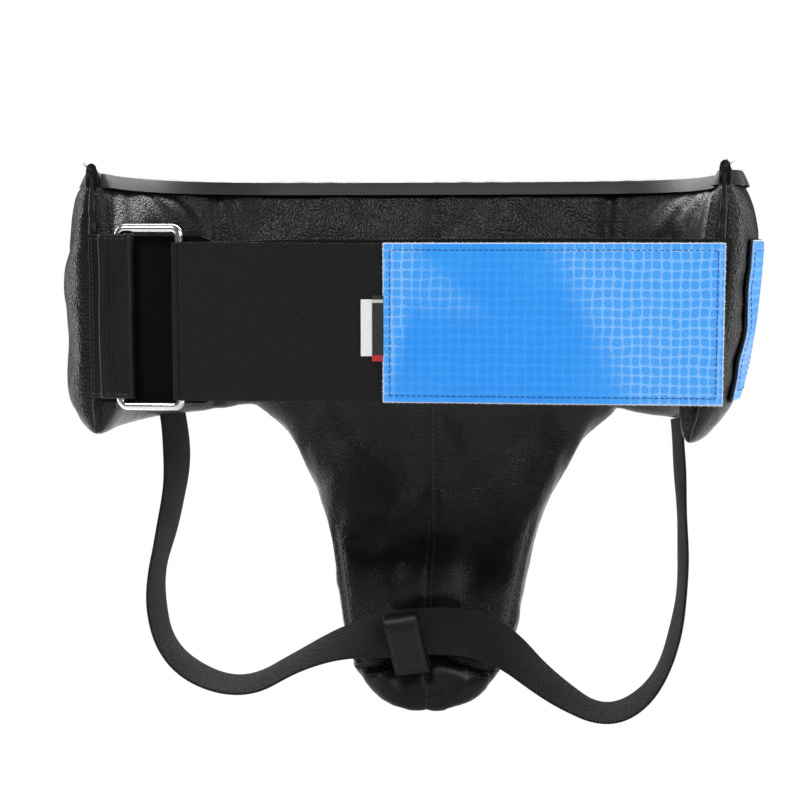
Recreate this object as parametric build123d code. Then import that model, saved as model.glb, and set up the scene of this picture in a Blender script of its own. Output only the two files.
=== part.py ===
from build123d import *
import math
import os

# Groin protector for boxing: a padded belt with a padded cup that hangs from its front.
# Millimetres. +X is the wearer's right, +Y the wearer's front, +Z up.
# The origin is the centre of the waist opening at belt mid-height.

LEATHER = 1.2
FIT = 0.2
GAP = 0.3

# Belt: its plan is a chain of arcs from the middle of the front to each end seam.
FRONT_Y = 92
PAD_HALF = 15
BELT_BOTTOM = -74
BELT_TOP = 75
BOTTOM_EDGE_HALF = 8
TOP_EDGE_HALF = 5
FRONT_RADIUS = 900
LEFT_ARCS = ((FRONT_RADIUS, 6.8), (84, 68.2), (230, 22))
RIGHT_ARCS = ((FRONT_RADIUS, 7.05), (80, 64.95), (190, 31.7))
CENTRE_SEAM_X = 2
SEAM_GAP = 1.0
LEFT_CREASE = 0.62
RIGHT_CREASE = 0.08
BINDING_HEIGHT = 7
BINDING_THICK = 1.0

# Cup: horizontal sections from the belt's lower edge to the tip.
# Each one is height, middle line in Y, half width, outer crown, rim height, depth of the floor.
CUP_X = 3
CUP_SECTIONS = (
    (-74.3, 92, 127, 14, 14, 13),
    (-92, 93, 105, 20, 17, 13),
    (-120, 91, 83, 26, 21, 10),
    (-155, 82, 70, 30, 23, 8),
    (-190, 66, 62, 30, 23, 7),
    (-222, 47, 54, 28, 20, 8),
    (-246, 33, 43, 23, 16, 10),
    (-262, 27, 25, 13, 9, 8),
    (-268, 26, 11, 6, 5, 5),
)
RIM_SHARE = 0.56
HARD_CUP_INNER = 3
HARD_CUP_THICK = 3.5
HARD_CUP_TOP = -92
HARD_CUP_BOTTOM = -238
TIP_CAP_TOP = -236
BUMP_CENTRE_Z = -184
BUMP_SIZE = (28, 11, 25)

# Closure: wide elastic, ring and hook-and-loop patch on the near side of the waist.
ELASTIC = 1.8
STRAP_LOW = -54
STRAP_WIDTH = 90
RING_Y = -90
RING_WIRE = 5
RING_LEFT_X = -163.6
RING_LENGTH = 35
RING_HEIGHT = 101.6
RING_MIDDLE_Z = -6.7
RING_CORNER = 4
TAB_LEATHER = 1.5
TAB_FOLD_X = -159.4
TAB_SEAM_X = -186
TAB_LOW = -53
TAB_HEIGHT = 94
GUARD_END_X = -108
STRAP_SEWN_X = 183
OVER_END_X = 168
LOOP_PAD = (-30, 154)
HOOK_PAD = (0, 154)
LOOP_THICK = 2.6
HOOK_THICK = 2.7
PATCH_THICK = 1.8
PATCH_LEFT_X = -10.5
PATCH_RIGHT_X = 177
PATCH_LOW = -53
PATCH_HEIGHT = 88.5
LABEL_THICK = 0.5
LABEL_TUCK = 6

# Outer patch over the strap's stitching on the right wing.
ANCHOR_START = 17
ANCHOR_TURN = 13.5
ANCHOR_LOW = -52
ANCHOR_HEIGHT = 88
ANCHOR_THICK = 1.2
ANCHOR_SEAT = 0.9

# Leg strap: 30 x 1.7 flat elastic, as a round cord of the same section.
LEG_WIDTH = 30
LEG_THICK = 1.7
LEG_DIAMETER = math.sqrt(4 * LEG_WIDTH * LEG_THICK / math.pi)
KEEPER_WIDTH = 20
KEEPER_LEATHER = 1.5
KEEPER_X = -10
KEEPER_Y = 16.5
KEEPER_LOW = -241
KEEPER_HIGH = -201
KEEPER_TONGUE = 22
KEEPER_PLAY = 0.9
LEG_ROUTE = (
    (-168, 44, -76),
    (-163, 42, -104),
    (-169, 37, -146),
    (-180, 29, -192),
    (-168, 22, -238),
    (-118, 16, -258),
    (-72, 15, -230),
    (-38, 16.5, -218),
    (18, 16.5, -211),
    (50, 14, -217),
    (84, 8, -246),
    (121, 4, -265),
    (153, 10, -243),
    (167, 22, -196),
    (168, 34, -146),
    (163, 44, -76),
)


def side_arcs(arcs, side, outward):
    """One side of the belt's plan, outward millimetres outside its middle line."""
    start = Vector(0, FRONT_Y + outward)
    heading = Vector(side, 0)
    edges = []
    for radius, turn in arcs:
        edge = JernArc(start, heading, radius + outward, -side * turn)
        start = edge @ 1
        heading = edge % 1
        edges.append(edge)
    return edges


def belt_face(half):
    """The belt's plan at one height, with a round end at each end seam."""
    edges = []
    for arcs, side in ((LEFT_ARCS, -1), (RIGHT_ARCS, 1)):
        outer = side_arcs(arcs, side, half)
        inner = side_arcs(arcs, side, -half)
        middle = side_arcs(arcs, side, 0)[-1]
        tip = middle @ 1 + (middle % 1) * half
        edges += outer + inner
        edges.append(ThreePointArc(outer[-1] @ 1, tip, inner[-1] @ 1))
    return make_face(edges)


def belt_solid(inset):
    """The belt's outer form, inset all round."""
    levels = (
        (BELT_BOTTOM + inset, BOTTOM_EDGE_HALF),
        (BELT_BOTTOM + 16, PAD_HALF - 1.5),
        (0, PAD_HALF),
        (BELT_TOP - 20, PAD_HALF - 2.5),
        (BELT_TOP - inset, TOP_EDGE_HALF),
    )
    return loft([Pos(0, 0, z) * belt_face(half - inset) for z, half in levels])


def outside_of_belt():
    """All that lies outside the belt's middle line, to part its two leathers."""
    reach = 60
    edges = []
    for arcs, side in ((LEFT_ARCS, -1), (RIGHT_ARCS, 1)):
        middle = side_arcs(arcs, side, 0)
        outer = side_arcs(arcs, side, reach)
        step = (middle[-1] % 1) * reach
        edges += middle + outer
        edges.append(Line(middle[-1] @ 1, middle[-1] @ 1 + step))
        edges.append(Line(middle[-1] @ 1 + step, outer[-1] @ 1 + step))
        edges.append(Line(outer[-1] @ 1 + step, outer[-1] @ 1))
    return Pos(0, 0, BELT_BOTTOM - 20) * extrude(make_face(edges), BELT_TOP - BELT_BOTTOM + 40)


def seam_cut(edge, share):
    """A thin cut across the padding where a seam pulls the two leathers together."""
    where = Plane(origin=edge @ share, x_dir=edge % share, z_dir=(0, 0, 1))
    return where * Box(SEAM_GAP, 4 * PAD_HALF, 2 * (BELT_TOP - BELT_BOTTOM))


def belt_parts():
    outer_form = belt_solid(0)
    shell = outer_form - belt_solid(LEATHER)
    outside = outside_of_belt()
    core = belt_solid(LEATHER + FIT)
    core -= Pos(CENTRE_SEAM_X, FRONT_Y, 0) * Box(SEAM_GAP, 4 * PAD_HALF, 400)
    core -= seam_cut(side_arcs(LEFT_ARCS, -1, 0)[1], LEFT_CREASE)
    core -= seam_cut(side_arcs(RIGHT_ARCS, 1, 0)[1], RIGHT_CREASE)
    pads = core.solids().sort_by(Axis.X)
    names = ("wing_pad_left", "front_pad_left", "front_pad_right", "wing_pad_right")
    parts = dict(zip(names, pads, strict=True))
    parts["belt_cover"] = shell & outside
    parts["belt_lining"] = shell - outside
    above = Pos(0, 0, BELT_TOP - BINDING_HEIGHT + 50) * Box(600, 400, 100)
    parts["top_binding"] = (belt_solid(-BINDING_THICK - FIT) - belt_solid(-FIT)) & above
    return parts


def cup_wire(section, inset):
    """One horizontal section: a crowned outside, two rims and a hollow floor."""
    z, y, half, crown, rim, floor = section
    half -= inset
    crown -= inset
    rim -= inset
    floor -= inset
    right = (
        (0, crown),
        (0.45 * half, 0.93 * crown),
        (0.85 * half, 0.62 * crown),
        (half, 0),
        (0.88 * half, -0.72 * rim),
        (0.68 * half, -rim),
        (0.36 * half, -0.35 * rim - 0.65 * floor),
        (0, -floor),
    )
    left = [(-x, across) for x, across in right[-2:0:-1]]
    points = [(CUP_X + x, y + across, z) for x, across in [*right, *left]]
    return Wire([Spline(*points, periodic=True)])


def cup_solid(inset):
    """The cup's outer form, inset all round."""
    sections = list(CUP_SECTIONS)
    top = sections[0]
    low = sections[-1]
    sections[0] = (top[0] - max(inset, 0), *top[1:])
    sections[-1] = (low[0] + inset, *low[1:])
    return Solid.make_loft([cup_wire(section, inset) for section in sections])


def cup_slab(inner, outer):
    """Everything between two depths either side of the cup's middle surface."""
    inner_line = [(s[1] + inner, s[0]) for s in CUP_SECTIONS]
    outer_line = [(s[1] + outer, s[0]) for s in CUP_SECTIONS]
    top = CUP_SECTIONS[0][0] + 20
    low = CUP_SECTIONS[-1][0] - 20
    inner_line = [(inner_line[0][0], top), *inner_line, (inner_line[-1][0], low)]
    outer_line = [(outer_line[0][0], top), *outer_line, (outer_line[-1][0], low)]
    edges = [
        Spline(*inner_line),
        Line(inner_line[-1], outer_line[-1]),
        Spline(*outer_line),
        Line(inner_line[0], outer_line[0]),
    ]
    face = Plane.YZ * make_face(edges)
    return extrude(face, 200, both=True)


def cup_middle(clear):
    """The part of the cup between its two rim seams."""
    right = [(CUP_X + RIM_SHARE * s[2] - clear, s[0]) for s in CUP_SECTIONS]
    left = [(CUP_X - RIM_SHARE * s[2] + clear, s[0]) for s in CUP_SECTIONS]
    top = CUP_SECTIONS[0][0] + 5
    low = CUP_SECTIONS[-1][0] - 5
    right = [(right[0][0], top), *right, (right[-1][0], low)]
    left = [(left[0][0], top), *left, (left[-1][0], low)]
    edges = [Spline(*right), Line(right[-1], left[-1]), Spline(*left), Line(right[0], left[0])]
    return extrude(Plane.XZ * make_face(edges), 300, both=True)


def cup_parts():
    outer_form = cup_solid(0)
    shell = outer_form - cup_solid(LEATHER)
    outside = cup_slab(0, 150)
    core = cup_solid(LEATHER + FIT)
    filling = core & cup_middle(GAP)
    rims = (core - cup_middle(0)).solids().sort_by(Axis.X)
    hard_outer = HARD_CUP_INNER + HARD_CUP_THICK
    hard_height = HARD_CUP_TOP - HARD_CUP_BOTTOM
    hard_zone = Pos(0, 0, HARD_CUP_BOTTOM + hard_height / 2) * Box(400, 400, hard_height)
    parts = {
        "cup_cover": shell & outside,
        "cup_lining": shell - outside,
        "rim_pad_left": rims[0],
        "rim_pad_right": rims[-1],
        "hard_cup": filling & cup_slab(HARD_CUP_INNER, hard_outer) & hard_zone,
        "cup_foam": filling & cup_slab(hard_outer + GAP, 150),
        "cup_inner_foam": filling & cup_slab(-150, HARD_CUP_INNER - GAP),
    }
    below = Pos(0, 0, TIP_CAP_TOP - 100) * Box(300, 300, 200)
    parts["tip_cap"] = (cup_solid(-LEATHER - FIT) - cup_solid(-FIT)) & below
    bump = Pos(CUP_X, cup_floor(BUMP_CENTRE_Z), BUMP_CENTRE_Z) * scale(Sphere(1), by=BUMP_SIZE)
    parts["inner_pad"] = (bump - cup_solid(-GAP)).solids().sort_by(Axis.Y)[0]
    return parts


def cup_floor(z):
    """Where the hollow's floor lies at a height, between two of the sections."""
    for upper, lower in zip(CUP_SECTIONS, CUP_SECTIONS[1:]):
        if upper[0] >= z >= lower[0]:
            share = (upper[0] - z) / (upper[0] - lower[0])
            start = upper[1] - upper[5]
            return start + share * (lower[1] - lower[5] - start)
    raise ValueError(z)


def plate(x0, x1, y0, y1, z0, height):
    """A flat piece between two corners."""
    middle = Pos((x0 + x1) / 2, (y0 + y1) / 2, z0 + height / 2)
    return middle * Box(x1 - x0, y1 - y0, height)


def band(outline, low, height):
    """A piece with one outline in plan, extruded upwards."""
    return Pos(0, 0, low) * extrude(make_face(outline), height)


def closure_ring():
    path = Plane.XZ * RectangleRounded(RING_LENGTH, RING_HEIGHT, RING_CORNER)
    centre = Pos(RING_LEFT_X + RING_LENGTH / 2, RING_Y, RING_MIDDLE_Z)
    wire = (centre * path).wire()
    section = Plane(origin=wire @ 0, z_dir=wire % 0) * Circle(RING_WIRE / 2)
    return sweep(section, path=wire)


def ring_tab():
    """A leather strip folded round the ring's left bar and sewn into the left end seam."""
    inner = RING_WIRE / 2 + GAP
    outer = inner + TAB_LEATHER
    sewn = TAB_LEATHER
    neck = TAB_FOLD_X - 12.6
    outline = [
        Polyline(
            (TAB_FOLD_X, RING_Y - outer),
            (neck, RING_Y - outer),
            (neck - 5, RING_Y - sewn),
            (TAB_SEAM_X, RING_Y - sewn),
            (TAB_SEAM_X, RING_Y + sewn),
            (neck - 5, RING_Y + sewn),
            (neck, RING_Y + outer),
            (TAB_FOLD_X, RING_Y + outer),
        ),
        ThreePointArc(
            (TAB_FOLD_X, RING_Y - outer), (TAB_FOLD_X + outer, RING_Y), (TAB_FOLD_X, RING_Y + outer)
        ),
    ]
    slot = [
        Polyline(
            (TAB_FOLD_X, RING_Y - inner),
            (neck + 0.5, RING_Y - inner),
            (neck - 3, RING_Y),
            (neck + 0.5, RING_Y + inner),
            (TAB_FOLD_X, RING_Y + inner),
        ),
        ThreePointArc(
            (TAB_FOLD_X, RING_Y - inner), (TAB_FOLD_X + inner, RING_Y), (TAB_FOLD_X, RING_Y + inner)
        ),
    ]
    return band(outline, TAB_LOW, TAB_HEIGHT) - band(slot, TAB_LOW, TAB_HEIGHT)


def closure_parts():
    bar_x = RING_LEFT_X + RING_LENGTH
    inner = RING_WIRE / 2 + GAP
    under_y = RING_Y + inner
    over_y = RING_Y - inner
    sewn_y = RING_Y - 1.2
    under_outline = Polyline(
        (bar_x + GAP, under_y),
        (STRAP_SEWN_X - 26, under_y),
        (STRAP_SEWN_X - 14, sewn_y),
        (STRAP_SEWN_X, sewn_y),
        (STRAP_SEWN_X, sewn_y + ELASTIC),
        (STRAP_SEWN_X - 14, sewn_y + ELASTIC),
        (STRAP_SEWN_X - 26, under_y + ELASTIC),
        (bar_x + GAP, under_y + ELASTIC),
        close=True,
    )
    half_ring = Cylinder(inner + ELASTIC, STRAP_WIDTH) - Cylinder(inner, STRAP_WIDTH)
    left_half = Pos(-50, 0, 0) * Box(100, 100, 2 * STRAP_WIDTH)
    turn = Pos(bar_x, RING_Y, STRAP_LOW + STRAP_WIDTH / 2) * (half_ring & left_half)
    patch_y = over_y - ELASTIC
    patch = plate(
        PATCH_LEFT_X, PATCH_RIGHT_X, patch_y - PATCH_THICK, patch_y, PATCH_LOW, PATCH_HEIGHT
    )
    size_tag = plate(-18, PATCH_LEFT_X + LABEL_TUCK, patch_y - LABEL_THICK, patch_y, -27, 33)
    woven = plate(
        -16, PATCH_LEFT_X + LABEL_TUCK, patch_y - 2 * LABEL_THICK, patch_y - LABEL_THICK, -39, 47
    )
    patch -= size_tag + woven
    guard_y = under_y + ELASTIC
    return {
        "closure_ring": closure_ring(),
        "ring_tab": ring_tab(),
        "ring_guard": plate(TAB_FOLD_X - 14, GUARD_END_X, guard_y, guard_y + TAB_LEATHER, -56, 96),
        "strap_under": band(under_outline, STRAP_LOW, STRAP_WIDTH),
        "strap_turn": turn,
        "strap_over": plate(bar_x + GAP, OVER_END_X, patch_y, over_y, STRAP_LOW, STRAP_WIDTH),
        "loop_pad": plate(*LOOP_PAD, under_y - LOOP_THICK, under_y, STRAP_LOW + 4, STRAP_WIDTH - 8),
        "hook_pad": plate(*HOOK_PAD, over_y, over_y + HOOK_THICK, STRAP_LOW + 6, STRAP_WIDTH - 12),
        "closure_patch": patch,
        "size_tag": size_tag,
        "woven_label": woven,
    }


def wing_sheet(inner, outer, low, height):
    """A curved sheet on the outside of the right wing, between two distances from its middle line."""
    before = side_arcs(RIGHT_ARCS, 1, 0)[1]
    radius = RIGHT_ARCS[-1][0]
    heading = before % 1
    centre = before @ 1 + Vector(heading.Y, -heading.X) * radius
    first = math.degrees(math.atan2((before @ 1 - centre).Y, (before @ 1 - centre).X))
    start = first - ANCHOR_START
    near = CenterArc(centre, radius + inner, start, -ANCHOR_TURN)
    far = CenterArc(centre, radius + outer, start, -ANCHOR_TURN)
    outline = [near, far, Line(near @ 0, far @ 0), Line(near @ 1, far @ 1)]
    return band(outline, low, height)


def anchor_parts():
    backing = PAD_HALF + ANCHOR_SEAT
    patch = backing + ANCHOR_THICK
    return {
        "anchor_backing": wing_sheet(backing, patch, ANCHOR_LOW - 2, ANCHOR_HEIGHT + 4),
        "anchor_patch": wing_sheet(patch, patch + ANCHOR_THICK, ANCHOR_LOW, ANCHOR_HEIGHT),
    }


def keeper_loop():
    """A folded leather strip round the leg strap, sewn to the tip at its lower end."""
    inner = LEG_DIAMETER / 2 + KEEPER_PLAY
    outer = inner + KEEPER_LEATHER
    height = KEEPER_HIGH - KEEPER_LOW
    profile = RectangleRounded(2 * outer, height, outer - 0.5)
    hole = RectangleRounded(2 * inner, height - 2 * KEEPER_LEATHER, inner - 0.5)
    face = Plane.YZ * (profile - hole)
    middle = Pos(KEEPER_X, KEEPER_Y, (KEEPER_LOW + KEEPER_HIGH) / 2)
    loop = middle * extrude(face, KEEPER_WIDTH / 2, both=True)
    half = KEEPER_WIDTH / 2
    tongue = plate(
        KEEPER_X - half,
        KEEPER_X + half,
        KEEPER_Y,
        KEEPER_Y + KEEPER_TONGUE,
        KEEPER_LOW,
        2 * KEEPER_LEATHER,
    )
    tongue -= middle * extrude(Plane.YZ * hole, half, both=True)
    sewn = (loop + tongue) - cup_solid(-LEATHER - FIT - GAP)
    return sewn.solids().sort_by(Axis.Y)[0]


def leg_strap():
    """The leg strap's tube: straight runs joined by arcs as large as the runs allow."""
    points = [Vector(*point) for point in LEG_ROUTE]
    radii = []
    for before, corner, after in zip(points, points[1:], points[2:]):
        turn = (corner - before).get_angle(after - corner)
        run = min((corner - before).length, (after - corner).length)
        radii.append(0.45 * run / math.tan(math.radians(turn / 2)))
    path = FilletPolyline(*points, radius=radii)
    section = Plane(origin=path @ 0, z_dir=path % 0) * Circle(LEG_DIAMETER / 2)
    tube = sweep(section, path=path)
    print("leg strap radii", [round(r) for r in radii], "length", round(path.length, 1))
    print("volume share", tube.volume / (path.length * LEG_WIDTH * LEG_THICK))
    return tube


parts = belt_parts() | cup_parts() | closure_parts() | anchor_parts()
parts["keeper_loop"] = keeper_loop()
parts["leg_strap"] = leg_strap()

os.makedirs("parts", exist_ok=True)
for name, shape in parts.items():
    export_step(shape, f"parts/{name}.step")
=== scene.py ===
import math

import bmesh
import bpy
import numpy as np
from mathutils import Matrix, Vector
from mathutils.bvhtree import BVHTree


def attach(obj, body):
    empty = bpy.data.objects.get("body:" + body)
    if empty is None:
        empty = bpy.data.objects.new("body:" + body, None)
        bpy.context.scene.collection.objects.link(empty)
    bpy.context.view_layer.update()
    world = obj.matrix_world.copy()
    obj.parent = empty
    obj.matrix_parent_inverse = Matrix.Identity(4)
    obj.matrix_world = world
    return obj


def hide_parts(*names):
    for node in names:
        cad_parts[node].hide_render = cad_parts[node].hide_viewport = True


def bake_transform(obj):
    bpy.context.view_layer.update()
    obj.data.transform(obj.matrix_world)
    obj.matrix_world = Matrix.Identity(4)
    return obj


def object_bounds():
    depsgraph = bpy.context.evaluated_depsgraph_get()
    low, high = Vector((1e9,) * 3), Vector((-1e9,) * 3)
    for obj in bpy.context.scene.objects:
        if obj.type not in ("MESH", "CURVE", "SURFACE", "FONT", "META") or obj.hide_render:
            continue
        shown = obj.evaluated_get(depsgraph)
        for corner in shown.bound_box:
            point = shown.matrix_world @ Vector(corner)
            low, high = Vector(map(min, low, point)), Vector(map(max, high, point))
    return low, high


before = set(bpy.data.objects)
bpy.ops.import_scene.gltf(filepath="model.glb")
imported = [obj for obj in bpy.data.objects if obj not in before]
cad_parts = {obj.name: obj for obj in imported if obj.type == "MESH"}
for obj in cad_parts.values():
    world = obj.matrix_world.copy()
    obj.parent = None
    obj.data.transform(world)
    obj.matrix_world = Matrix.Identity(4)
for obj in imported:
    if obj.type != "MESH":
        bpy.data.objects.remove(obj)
cad_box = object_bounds()

# Lengths are written in millimetres, as the maker's pattern gives them, and turned to metres here.
MM = 0.001

# ------------------------------------------------------------------ the belt's plan and the cup's form
FRONT_Y = 92
PAD_HALF = 15
BELT_TOP = 75
BELT_BOTTOM = -74
LEFT_ARCS = ((900, 6.8), (84, 68.2), (230, 22))
RIGHT_ARCS = ((900, 7.05), (80, 64.95), (190, 31.7))
CUP_X = 3
CUP_FORM = np.array([
    # height, middle line in Y, half width, outer crown, rim, floor
    (-60, 91.5, 132, 13, 13.5, 13),
    (-74, 92, 127, 14, 14, 13),
    (-92, 93, 108, 20, 17, 13),
    (-120, 91, 89.5, 26, 21, 10),
    (-155, 82, 75.5, 30, 23, 8),
    (-190, 66, 67.5, 30, 23, 7),
    (-222, 47, 59, 28, 20, 8),
    (-246, 33, 44.5, 23, 16, 10),
    (-261, 27, 27, 14, 10, 9),
    (-268, 26, 10, 6, 5, 5),
])


def trace_belt():
    """Points every millimetre or so along the belt's middle line, from left end seam to right."""
    halves = []
    for arcs, side in ((LEFT_ARCS, -1), (RIGHT_ARCS, 1)):
        x, y, heading = 0.0, float(FRONT_Y), 0.0
        points = [(0.0, x, y, heading)]
        run = 0.0
        for radius, turn in arcs:
            steps = int(radius * math.radians(turn)) + 1
            for _ in range(steps):
                step = math.radians(turn) / steps
                chord = 2 * radius * math.sin(step / 2)
                x += chord * math.cos(heading + step / 2)
                y -= chord * math.sin(heading + step / 2)
                heading += step
                run += radius * step
                points.append((run, x, y, heading))
        points = np.array(points)
        rows = np.stack([
            side * points[:, 0],
            side * points[:, 1],
            points[:, 2],
            side * np.sin(points[:, 3]),
            np.cos(points[:, 3]),
        ], 1)
        halves.append(rows)
    return np.concatenate([halves[0][::-1], halves[1][1:]])


BELT = trace_belt()
LEFT_END, RIGHT_END = BELT[0, 0], BELT[-1, 0]


def belt_at(run):
    """Place and outward direction on the belt's middle line, this far from the middle of the front."""
    run = np.asarray(run, float)
    held = np.clip(run, LEFT_END, RIGHT_END)
    x, y, nx, ny = (np.interp(held, BELT[:, 0], BELT[:, k]) for k in range(1, 5))
    over = run - held
    return x + over * ny, y - over * nx, nx, ny


def smooth(t):
    t = np.clip(t, 0, 1)
    return t * t * (3 - 2 * t)


def cup_at(z, column):
    """One column of the cup's form at a height, as a smooth curve through the listed heights."""
    heights = CUP_FORM[::-1, 0]
    values = CUP_FORM[::-1, column]
    slopes = np.gradient(values, heights)
    z = np.clip(z, heights[0], heights[-1])
    k = np.clip(np.searchsorted(heights, z) - 1, 0, len(heights) - 2)
    gap = heights[k + 1] - heights[k]
    t = (z - heights[k]) / gap
    a = values[k] * (2 * t**3 - 3 * t**2 + 1) + slopes[k] * gap * (t**3 - 2 * t**2 + t)
    return a + values[k + 1] * (3 * t**2 - 2 * t**3) + slopes[k + 1] * gap * (t**3 - t**2)


# ------------------------------------------------------------------ small mesh tools
def add_mesh(name, points, faces, smooth_shade=True):
    """A mesh object from points in millimetres."""
    mesh = bpy.data.meshes.new(name)
    mesh.from_pydata([tuple(p) for p in np.asarray(points, float) * MM], [], faces)
    mesh.validate()
    mesh.polygons.foreach_set("use_smooth", [smooth_shade] * len(mesh.polygons))
    piece = bpy.data.objects.new(name, mesh)
    bpy.context.scene.collection.objects.link(piece)
    return piece


def grid_faces(rows, columns, close_rows=False, close_columns=False):
    faces = []
    for i in range(rows if close_rows else rows - 1):
        for j in range(columns if close_columns else columns - 1):
            a, b = i, (i + 1) % rows
            c, d = j, (j + 1) % columns
            faces.append((a * columns + c, b * columns + c, b * columns + d, a * columns + d))
    return faces


def tube_mesh(rings):
    """Points and faces of a closed tube through rings of points, with its two ends filled."""
    rings = np.asarray(rings, float)
    count, around = rings.shape[:2]
    faces = grid_faces(count, around, close_columns=True)
    faces.append(tuple(range(around))[::-1])
    faces.append(tuple((count - 1) * around + k for k in range(around)))
    return rings.reshape(-1, 3), faces


def coordinates(piece):
    flat = np.empty(len(piece.data.vertices) * 3)
    piece.data.vertices.foreach_get("co", flat)
    return flat.reshape(-1, 3) / MM


def set_coordinates(piece, points):
    piece.data.vertices.foreach_set("co", (np.asarray(points) * MM).ravel())
    piece.data.update()


def apply_modifiers(piece):
    evaluated = piece.evaluated_get(bpy.context.evaluated_depsgraph_get())
    made = bpy.data.meshes.new_from_object(evaluated)
    old = piece.data
    piece.modifiers.clear()
    piece.data = made
    bpy.data.meshes.remove(old)
    return piece


def subdivide(piece, levels=1):
    modifier = piece.modifiers.new("rounder", "SUBSURF")
    modifier.levels = modifier.render_levels = levels
    return apply_modifiers(piece)


def join(name, pieces):
    """One object from several, which are used up."""
    points, faces = [], []
    for piece in pieces:
        base = len(points)
        points += list(coordinates(piece))
        faces += [tuple(base + v for v in p.vertices) for p in piece.data.polygons]
        bpy.data.objects.remove(piece)
    return add_mesh(name, points, faces)


def normals_of(piece):
    flat = np.empty(len(piece.data.vertices) * 3)
    piece.data.vertices.foreach_get("normal", flat)
    return flat.reshape(-1, 3)


def attribute(piece, name, values):
    made = piece.data.attributes.new(name, "FLOAT", "POINT")
    made.data.foreach_set("value", np.asarray(values, np.float32))


def own(piece, body, slot, material, *nodes):
    """The piece rides on its body, if it has only one, takes its finish and stands for its nodes."""
    piece.data.materials.clear()
    piece.data.materials.append(material)
    if body:
        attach(piece, body)
    if nodes:
        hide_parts(*nodes)
    return piece


# ------------------------------------------------------------------ materials
def linear(code):
    """An sRGB hex colour as the linear numbers that the shaders take."""
    parts = [int(code[k:k + 2], 16) / 255 for k in (1, 3, 5)]
    parts = [c / 12.92 if c <= 0.04045 else ((c + 0.055) / 1.055) ** 2.4 for c in parts]
    return (*parts, 1)


def node(tree, kind, settings=None, **links):
    """Adds one node, sets its properties, and sets or links its inputs by name."""
    made = tree.nodes.new("ShaderNode" + kind)
    for key, value in (settings or {}).items():
        setattr(made, key, value)
    for key, value in links.items():
        name = key.replace("_", " ")
        socket = made.inputs[int(key[1:])] if key[0] == "i" and key[1:].isdigit() else made.inputs[name]
        if isinstance(value, bpy.types.NodeSocket):
            tree.links.new(value, socket)
        else:
            socket.default_value = value
    return made


def new_material(name, **shader):
    material = bpy.data.materials.new(name)
    material.use_nodes = True
    tree = material.node_tree
    tree.nodes.clear()
    surface = node(tree, "BsdfPrincipled")
    for key, value in shader.items():
        surface.inputs[key.replace("_", " ")].default_value = value
    out = node(tree, "OutputMaterial", Surface=surface.outputs[0])
    place = node(tree, "TexCoord").outputs["Object"]
    return material, tree, surface, place


def ramp(tree, value, low, high, a=0.0, b=1.0):
    smoothstep = {"interpolation_type": "SMOOTHSTEP"}
    return node(tree, "MapRange", smoothstep, i0=value, i1=low, i2=high, i3=a, i4=b).outputs[0]


def mix(tree, factor, a, b):
    return node(tree, "Mix", {"data_type": "RGBA"}, i0=factor, i6=a, i7=b).outputs[2]


def maths(tree, operation, a, b=0.0):
    return node(tree, "Math", {"operation": operation}, i0=a, i1=b).outputs[0]


def noise(tree, place, size_mm, detail=3.0, roughness=0.5):
    scale = 1 / (size_mm * MM)
    return node(tree, "TexNoise", i0=place, Scale=scale, Detail=detail, Roughness=roughness).outputs[0]


def bump(tree, height, depth_mm, strength=1.0, under=None):
    made = node(tree, "Bump", Height=height, Distance=depth_mm * MM, Strength=strength)
    if under is not None:
        tree.links.new(under, made.inputs["Normal"])
    return made.outputs[0]


def leather(name, dark, light, grain_mm, grain_depth, rough, crease_depth=0.5, shine=0.3):
    """Black PU leather: an embossed pebble grain under a satin coat, with soft creases."""
    material, tree, surface, place = new_material(name, IOR=1.5, Specular_IOR_Level=shine)
    grain = node(tree, "TexVoronoi", {"feature": "SMOOTH_F1"}, Vector=place,
                 Scale=1 / (grain_mm * MM), Smoothness=0.22, Randomness=0.95).outputs[0]
    fine = noise(tree, place, grain_mm * 0.45, 3)
    broad = noise(tree, place, 38, 2)
    crease = noise(tree, place, 9, 4, 0.6)
    colour = mix(tree, ramp(tree, broad, 0.3, 0.75), linear(dark), linear(light))
    tree.links.new(colour, surface.inputs["Base Color"])
    roughness = maths(tree, "ADD", maths(tree, "MULTIPLY", grain, 0.10), rough)
    roughness = maths(tree, "ADD", roughness, maths(tree, "MULTIPLY", broad, 0.1))
    tree.links.new(roughness, surface.inputs["Roughness"])
    normal = bump(tree, crease, crease_depth, 0.5)
    normal = bump(tree, grain, -grain_depth, 0.8, normal)
    normal = bump(tree, fine, grain_depth * 0.35, 0.5, normal)
    tree.links.new(normal, surface.inputs["Normal"])
    return material


pebbled_leather = leather("pebbled_pu_leather", "#0c0c0c", "#131212", 1.5, 0.55, 0.26)
lining_leather = leather("lining_pu_leather", "#0b0b0b", "#131212", 1.4, 0.5, 0.27)
smooth_leather = leather("smooth_pu_leather", "#0c0c0c", "#131212", 0.9, 0.1, 0.3, 0.25)
binding_leather = leather("binding_pu_leather", "#0a0a0a", "#101010", 0.8, 0.06, 0.34, 0.3, 0.22)
matte_leather = leather("matte_pu_leather", "#080808", "#0b0b0b", 0.7, 0.04, 0.7, 0.1, 0.08)


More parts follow.
